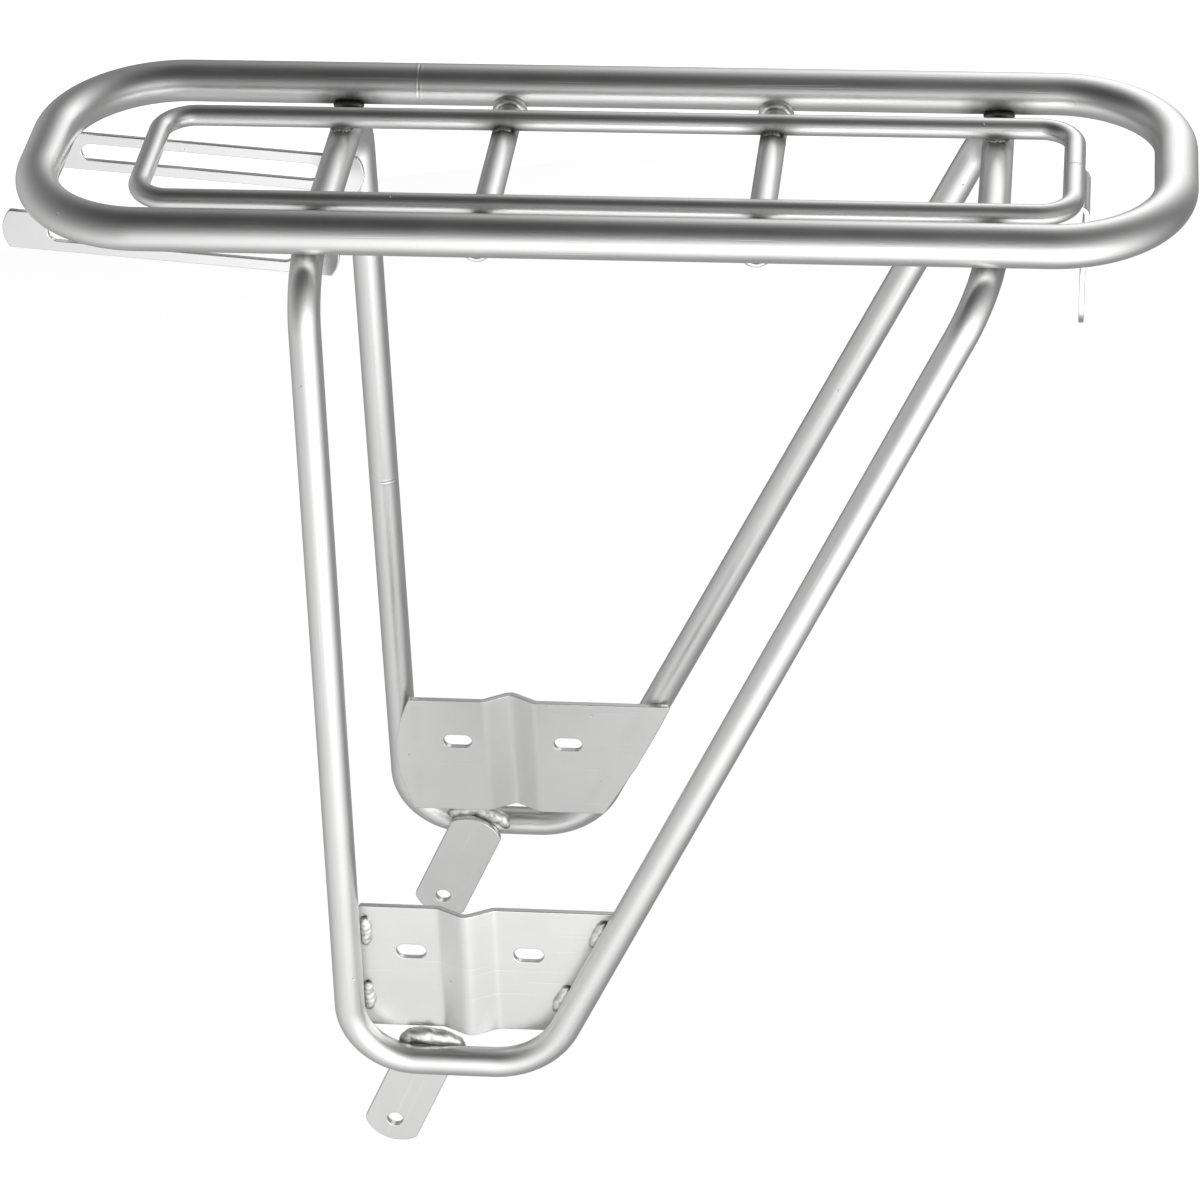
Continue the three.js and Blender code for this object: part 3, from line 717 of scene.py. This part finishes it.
# ---------------------------------------------------------------- the rack's sizes
# Those of its CAD source, with the edges, seams and seats that only the look has.
HOOP_R, HOOP_CORNER_R = 8 * MM, 45 * MM
RAIL_R, RAIL_CORNER_R = 4 * MM, 13 * MM
LEG_R, CROSS_R, TUBE_WALL = 6 * MM, 5 * MM, 1.5 * MM
SHOULDER_Y, SHOULDER_R = 68.2 * MM, 24 * MM
FOOT_FRONT_X, FOOT_REAR_X = -14.1 * MM, 63.3 * MM
FOOT_Y, FOOT_Z = 81.1 * MM, 36.2 * MM
FOOT_FRONT_R, FOOT_REAR_R = 26 * MM, 33 * MM
SEAT_R = RAIL_R + 0.1 * MM   # the seats pressed into the cross tubes for the rail
SEAT_ROUND = 0.3 * MM
SHEET_OUTER_N = -6.3 * MM    # outer face of plates and tabs, inward of the leg centre lines
PLATE_T, TAB_T, STRUT_T, BRACKET_T = 2.5 * MM, 3 * MM, 2 * MM, 2 * MM
EDGE = 0.4 * MM              # rounding of the edges of plates and tabs
BRIGHT_EDGE = 0.35 * MM      # and of the struts and the lamp bracket
# Plate corners in x and distance down the leg plane, with their radii, all in mm.
PLATE_CORNERS = [(-8.5, 284), (102.4, 284), (87.4, 317), (72, 342), (-9.5, 342), (-20, 309)]
PLATE_RADII = [1, 1, 380, 1, 1, 64]
SLOT_X, SLOT_S = (11.2 * MM, 58.2 * MM), 305.2 * MM
SLOT_LENGTH, SLOT_WIDTH = 12 * MM, 6.5 * MM
TAB_LENGTH, TAB_HALF, TAB_END_R, TAB_BELOW = 55.5 * MM, 11.25 * MM, 15 * MM, 10 * MM
TAB_LEAN = math.radians(24.2)
EYELET_R = 3.2 * MM
STRUT_LENGTH, STRUT_HALF, STRUT_END_R = 125.9 * MM, 7.8 * MM, 13 * MM
STRUT_SLOT_WIDTH, STRUT_SLOT_MARGIN = 7 * MM, 17 * MM
STRUT_Z = 377.2 * MM         # middle of the strut at the front arch
STRUT_RISE = math.radians(4.6)
LAMP_SET, LAMP_SET_Z = 1.4 * MM, 362 * MM    # the tongue eases forward by this much, down to there
LAMP_HOLE_R, LAMP_HOLE_UP = 2.75 * MM, 12 * MM
HOOP_SEAM_X = 15.6 * MM      # where the butt seams of the hoop and the leg loop are
LEG_SEAM = (-13.3 * MM, 74.6 * MM, 214.7 * MM)


def middle(node):
    lo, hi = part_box(node)
    return (np.array(lo) + np.array(hi)) / 2


def shrunk_box(node, radius):
    lo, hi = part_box(node)
    return np.array(lo) + radius, np.array(hi) - radius


hoop_lo, hoop_hi = shrunk_box("outer_hoop", HOOP_R)
rail_lo, rail_hi = shrunk_box("inner_rail", RAIL_R)
DECK_Z = float(hoop_lo[2])
RAIL_Z = float(rail_lo[2])
HOOP_Y = float(hoop_hi[1])
RAIL_Y = float(rail_hi[1])
ARCH_Z = float(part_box("leg_loop")[1][2]) - LEG_R
ARCH_X = {end: float(middle(f"weld_rail_arch_{end}_left")[0]) for end in ("front", "rear")}
CROSS_X = {end: float(middle(f"cross_tube_{end}")[0]) for end in ("front", "rear")}
CROSS_Z = float(middle("cross_tube_front")[2])

splay = math.atan2(FOOT_Y - SHOULDER_Y, ARCH_Z - FOOT_Z)


def side_place(sign):
    """From (x, distance down the splayed leg plane, height out of it) to space, on one side of the rack."""
    def place(x, s, n):
        y = SHOULDER_Y + s * math.sin(splay) + n * math.cos(splay)
        z = ARCH_Z - s * math.cos(splay) + n * math.sin(splay)
        return np.stack([x, sign * y, z], -1)
    return place


def on_side(sign, x, s, n):
    return side_place(sign)(np.array(x, float), np.array(s, float), np.array(n, float))


def rectangle(lo, hi, z):
    return [(lo[0], lo[1], z), (hi[0], lo[1], z), (hi[0], hi[1], z), (lo[0], hi[1], z)]


# ---------------------------------------------------------------- where the beads run
ARCH_BEAD_IN, ARCH_BEAD_DOWN = 6.9 * MM, 5.9 * MM    # from the hoop's centreline
RING_IN, RING_LEAN = 7.2 * MM, 1.2 * MM              # a ring weld leans: its top is further in
RING_RISE, RING_FLAT = 0.05 * MM, 0.75 * MM          # and it stands off the tube at its top only
SEAT_BEAD_IN, SEAT_BEAD_DOWN = 3.9 * MM, 0.4 * MM    # from the rail's centreline and the tube's top
PLATE_BEAD_HALF = 6.9 * MM
# Middles of the plate beads: x, distance down the leg plane, and whether they lean with the rear leg.
PLATE_BEADS = {
    "front_upper": (-6.6 * MM, 295.5 * MM, False),
    "front_lower": (-7.0 * MM, 327 * MM, False),
    "rear_upper": (86.5 * MM, 293.5 * MM, True),
    "rear_lower": (70.8 * MM, 325.5 * MM, True),
}
# The tab bead's path in mm: x, distance down the leg plane and height out of it.
TAB_BEAD = [
    (4.5, 348.6, -4.8), (9.5, 345.2, -4.4), (16, 344.6, -4.2),
    (22.5, 346.2, -4.6), (27.5, 349, -5.6), (30, 353, -7),
]
bead_jobs = []


def plan_bead(node, points, half_width, half_height, up, pitch=1.5 * MM, closed=False, taper=3.0,
              painted_light_share=1.0, soot_and_shade=0.6, reach=8 * MM):
    points = np.array(points, float)
    bead_jobs.append((node, points, half_width, half_height, up, pitch, closed, taper, painted_light_share))
    weld_points.extend((*point, soot_and_shade, reach) for point in points)


def line(start, end, count=9):
    shares = np.linspace(0, 1, count)[:, None]
    return np.array(start, float) * (1 - shares) + np.array(end, float) * shares


def plan_beads():
    lean = math.atan2(ARCH_X["rear"] - FOOT_REAR_X, ARCH_Z - FOOT_Z)
    for side, sign in SIDES.items():
        out = np.array((0, sign, 0))
        for end in ("front", "rear"):
            x = ARCH_X[end]
            y, z = sign * (HOOP_Y - ARCH_BEAD_IN), DECK_Z - ARCH_BEAD_DOWN
            points = line((x - 6 * MM, y, z), (x + 6 * MM, y, z))
            # painted shade: these beads sit in the dark gap under the hoop, so their colour is made nearly
            # black and the tubes round them darkened
            plan_bead(f"weld_hoop_arch_{end}_{side}", points, 2.4 * MM, 1.6 * MM, (0, -sign, -0.6),
                      3 * MM, painted_light_share=0.08, soot_and_shade=1.2, reach=12 * MM)

            x = CROSS_X[end]
            turns = 2 * math.pi * np.arange(120) / 120
            ring_r = CROSS_R + RING_RISE + RING_FLAT * np.sin(turns)
            ring_y = HOOP_Y - RING_IN - RING_LEAN * np.sin(turns)
            points = np.stack([
                x + ring_r * np.cos(turns), sign * ring_y, CROSS_Z + ring_r * np.sin(turns),
            ], 1)
            up = np.stack([np.cos(turns), np.zeros(120), np.sin(turns)], 1)
            plan_bead(f"weld_hoop_cross_{end}_{side}", points, 2.0 * MM, 1.7 * MM, up, 3.2 * MM, closed=True,
                      soot_and_shade=0.2, reach=5 * MM)

            y, z = sign * (RAIL_Y - SEAT_BEAD_IN), CROSS_Z + CROSS_R - SEAT_BEAD_DOWN
            points = line((x - 3.4 * MM, y, z), (x + 3.4 * MM, y, z))
            # painted shade under the rail: a half-dark bead and darkened tubes round it
            plan_bead(f"weld_rail_cross_{end}_{side}", points, 1.7 * MM, 1.2 * MM, (0, -sign, 1), taper=2.2,
                      painted_light_share=0.5, soot_and_shade=1.0, reach=10 * MM)

            x, z = ARCH_X[end], (RAIL_Z - RAIL_R + ARCH_Z + LEG_R) / 2
            points = line((x - 4.4 * MM, sign * RAIL_Y, z), (x + 4.4 * MM, sign * RAIL_Y, z))
            # painted shade under the rail: a half-dark bead and darkened tubes round it
            plan_bead(f"weld_rail_arch_{end}_{side}", points, 3.0 * MM, 1.5 * MM, (0, 0, 1), taper=2.2,
                      painted_light_share=0.5, soot_and_shade=0.8)

        for place, (x, s, at_rear) in PLATE_BEADS.items():
            tilt = lean if at_rear else 0
            dx, ds = -PLATE_BEAD_HALF * math.sin(tilt), PLATE_BEAD_HALF * math.cos(tilt)
            ends = on_side(sign, [x - dx, x + dx], [s - ds, s + ds], [SHEET_OUTER_N + 0.4 * MM] * 2)
            points = line(ends[0], ends[1])
            plan_bead(f"weld_plate_{place}_{side}", points, 2.7 * MM, 2.0 * MM, out, 2.4 * MM,
                      soot_and_shade=0.12, reach=5 * MM)

        x, s, n = np.array(TAB_BEAD).T * MM
        plan_bead(f"weld_tab_{side}", on_side(sign, x, s, n), 3.4 * MM, 3.0 * MM, out, 3.8 * MM,
                  soot_and_shade=0.25, reach=6 * MM)

        lo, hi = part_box(f"front_strut_{side}")
        outer_y = sign * max(abs(lo[1]), abs(hi[1]))
        z = ARCH_Z - LEG_R - 1 * MM
        x = ARCH_X["front"]
        points = line((x - 6 * MM, outer_y, z), (x + 6 * MM, outer_y, z))
        plan_bead(f"weld_strut_{side}", points, 1.8 * MM, 1.6 * MM, out)

        lo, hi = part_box(f"weld_bracket_{side}")
        x, z = float(lo[0] + hi[0]) / 2, float(lo[2] + hi[2]) / 2
        points = line((x, lo[1], z), (x, hi[1], z))
        plan_bead(f"weld_bracket_{side}", points, 2.8 * MM, 1.4 * MM, (0, 0, 1), 1.6 * MM)


# ---------------------------------------------------------------- the pieces
def make_tubes():
    hoop = rectangle(hoop_lo, hoop_hi, DECK_Z)
    bent_tube("hoop_tube", "outer_hoop", hoop, [HOOP_CORNER_R] * 4, HOOP_R, 64,
              (HOOP_SEAM_X, HOOP_Y, DECK_Z), SATIN)
    rail = rectangle(rail_lo, rail_hi, RAIL_Z)
    bent_tube("rail_rod", "inner_rail", rail, [RAIL_CORNER_R] * 4, RAIL_R, 40,
              (rail_hi[0], 0, RAIL_Z), SATIN)
    front, rear = ARCH_X["front"], ARCH_X["rear"]
    legs = [
        (front, SHOULDER_Y, ARCH_Z), (front, -SHOULDER_Y, ARCH_Z),
        (FOOT_FRONT_X, -FOOT_Y, FOOT_Z), (FOOT_REAR_X, -FOOT_Y, FOOT_Z),
        (rear, -SHOULDER_Y, ARCH_Z), (rear, SHOULDER_Y, ARCH_Z),
        (FOOT_REAR_X, FOOT_Y, FOOT_Z), (FOOT_FRONT_X, FOOT_Y, FOOT_Z),
    ]
    radii = [SHOULDER_R] * 2 + [FOOT_FRONT_R, FOOT_REAR_R] + [SHOULDER_R] * 2 + [FOOT_REAR_R, FOOT_FRONT_R]
    bent_tube("leg_tube", "leg_loop", legs, radii, LEG_R, 52,
              LEG_SEAM, SATIN)
    for end, x in CROSS_X.items():
        reach = float(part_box(f"cross_tube_{end}")[1][1])
        straight_tube(f"cross_bar_{end}", f"cross_tube_{end}", (x, -reach, CROSS_Z), (x, reach, CROSS_Z),
                      CROSS_R, TUBE_WALL, 44, SATIN)


RIDGE_X, RIDGE_HALF, RIDGE_RISE = 34 * MM, 11 * MM, 5.4 * MM     # the ridge pressed into each side plate
CREST_ROUND = 1.1 * MM       # how blunt the ridge's crest is
FOOT_ROUND = 0.35 * MM       # how sharp its two creases are


def ridge_height(x):
    """The pressed ridge: straight flanks, a blunt crest and two sharp creases."""
    slope = RIDGE_RISE / (RIDGE_HALF - CREST_ROUND)
    distance = np.sqrt((x - RIDGE_X) ** 2 + CREST_ROUND ** 2)
    return slope * FOOT_ROUND * np.logaddexp(0, (RIDGE_HALF - distance) / FOOT_ROUND)


def make_side_plates():
    loops = [outline([(x * MM, s * MM) for x, s in PLATE_CORNERS], [r * MM for r in PLATE_RADII])]
    for x in SLOT_X:
        loops.append(slot_hole(x, SLOT_S, SLOT_LENGTH, SLOT_WIDTH))
    for side, sign in SIDES.items():
        def bend(x, s, h, place=side_place(sign)):
            step = 0.01 * MM
            slope = (ridge_height(x + step) - ridge_height(x - step)) / (2 * step)
            size = np.sqrt(1 + slope ** 2)
            n = SHEET_OUTER_N - PLATE_T / 2 + ridge_height(x) + h / size
            return place(x - h * slope / size, s, n)
        sheet(f"plate_{side}", f"side_plate_{side}", loops, PLATE_T, EDGE, 1.4 * MM, bend,
              SATIN)


def make_axle_tabs():
    corners, radii = arc_ended(TAB_LENGTH, TAB_HALF, TAB_END_R, 2 * MM)
    loops = [outline(corners, radii), circle(TAB_BELOW, 0, EYELET_R)]
    eyelet_s = ARCH_Z / math.cos(splay) + SHEET_OUTER_N * math.tan(splay)
    for side, sign in SIDES.items():
        def lay(a, b, h, place=side_place(sign)):
            up = a - TAB_BELOW
            x = up * math.sin(TAB_LEAN) + b * math.cos(TAB_LEAN)
            s = eyelet_s - up * math.cos(TAB_LEAN) + b * math.sin(TAB_LEAN)
            return place(x, s, SHEET_OUTER_N - TAB_T / 2 + h)
        sheet(f"tab_{side}", f"axle_tab_{side}", loops, TAB_T, EDGE, 1.5 * MM, lay, SATIN)


def make_struts():
    corners, radii = arc_ended(STRUT_LENGTH, STRUT_HALF, STRUT_END_R, 1.2 * MM)
    slot_length = STRUT_LENGTH - 2 * STRUT_SLOT_MARGIN
    loops = [outline(corners, radii), slot_hole(STRUT_LENGTH / 2, 0, slot_length, STRUT_SLOT_WIDTH)]
    for side in SIDES:
        lo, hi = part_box(f"front_strut_{side}")
        y = float(lo[1] + hi[1]) / 2
        front_x = float(lo[0])
        nose_z = STRUT_Z + (ARCH_X["front"] - front_x) * math.tan(STRUT_RISE)

        def lay(a, b, h):
            x = front_x + a * math.cos(STRUT_RISE) + b * math.sin(STRUT_RISE)
            z = nose_z - a * math.sin(STRUT_RISE) + b * math.cos(STRUT_RISE)
            return np.stack([x, np.full_like(x, y) + h, z], -1)
        sheet(f"strut_{side}", f"front_strut_{side}", loops, STRUT_T, BRIGHT_EDGE, 1.5 * MM, lay,
              POLISHED)


def make_lamp_bracket():
    """A strip bent over: flange forward under the rail, tongue down behind it."""
    lo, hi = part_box("lamp_bracket")
    top, bottom, front, rear = float(hi[2]), float(lo[2]), float(lo[0]), float(hi[0])
    mid = BRACKET_T / 2
    tongue_x = rear - LAMP_SET - mid
    corners = [
        (front, 0, top - mid), (rear - mid, 0, top - mid),
        (tongue_x, 0, LAMP_SET_Z), (tongue_x, 0, bottom),
    ]
    path = rounded_path(corners, [0, 3.2 * MM, 30 * MM, 0], 0.8 * MM, math.radians(5), closed=False)
    lengths, total = arc_lengths(path, False)
    tangents = tangents_of(path, False)
    half = float(hi[1])
    flat = [(0, -half), (total, -half), (total, half), (0, half)]
    hole = circle(total - LAMP_HOLE_UP, 0, LAMP_HOLE_R, 32)
    loops = [outline(flat, [2 * MM, 8 * MM, 8 * MM, 2 * MM]), hole]

    def bend(a, b, h):
        x, z = np.interp(a, lengths, path[:, 0]), np.interp(a, lengths, path[:, 2])
        tx, tz = np.interp(a, lengths, tangents[:, 0]), np.interp(a, lengths, tangents[:, 2])
        return np.stack([x - h * tz, b, z + h * tx], -1)
    sheet("lamp_plate", "lamp_bracket", loops, BRACKET_T, BRIGHT_EDGE, 1.2 * MM, bend,
          POLISHED)


def make_beads():
    for seed, (node, points, half_width, half_height, up, pitch, *look) in enumerate(bead_jobs):
        name = node.replace("weld_", "bead_", 1)
        bead(name, node, points, half_width, half_height, up, pitch, seed, *look)


# ---------------------------------------------------------------- build
make_camera()
make_world()
make_floor()
make_light_tent()
# the dark colour given last to each metal is that of weld soot and painted shade beside the welds
SATIN = metal("satin_alloy", (0.82, 0.82, 0.815), 0.33, (0.10, 0.098, 0.093), 0.00006, 0.25)
POLISHED = metal("polished_steel", (0.84, 0.84, 0.845), 0.16, (0.25, 0.245, 0.24), 0.00003, 0.12)
BEAD_METAL = weld_metal("weld_metal", (0.86, 0.86, 0.85), (0.10, 0.098, 0.093))

plan_beads()
make_tubes()
make_side_plates()
make_axle_tabs()
make_struts()
make_lamp_bracket()
make_beads()

scene = bpy.context.scene
scene.view_settings.view_transform = "Standard"
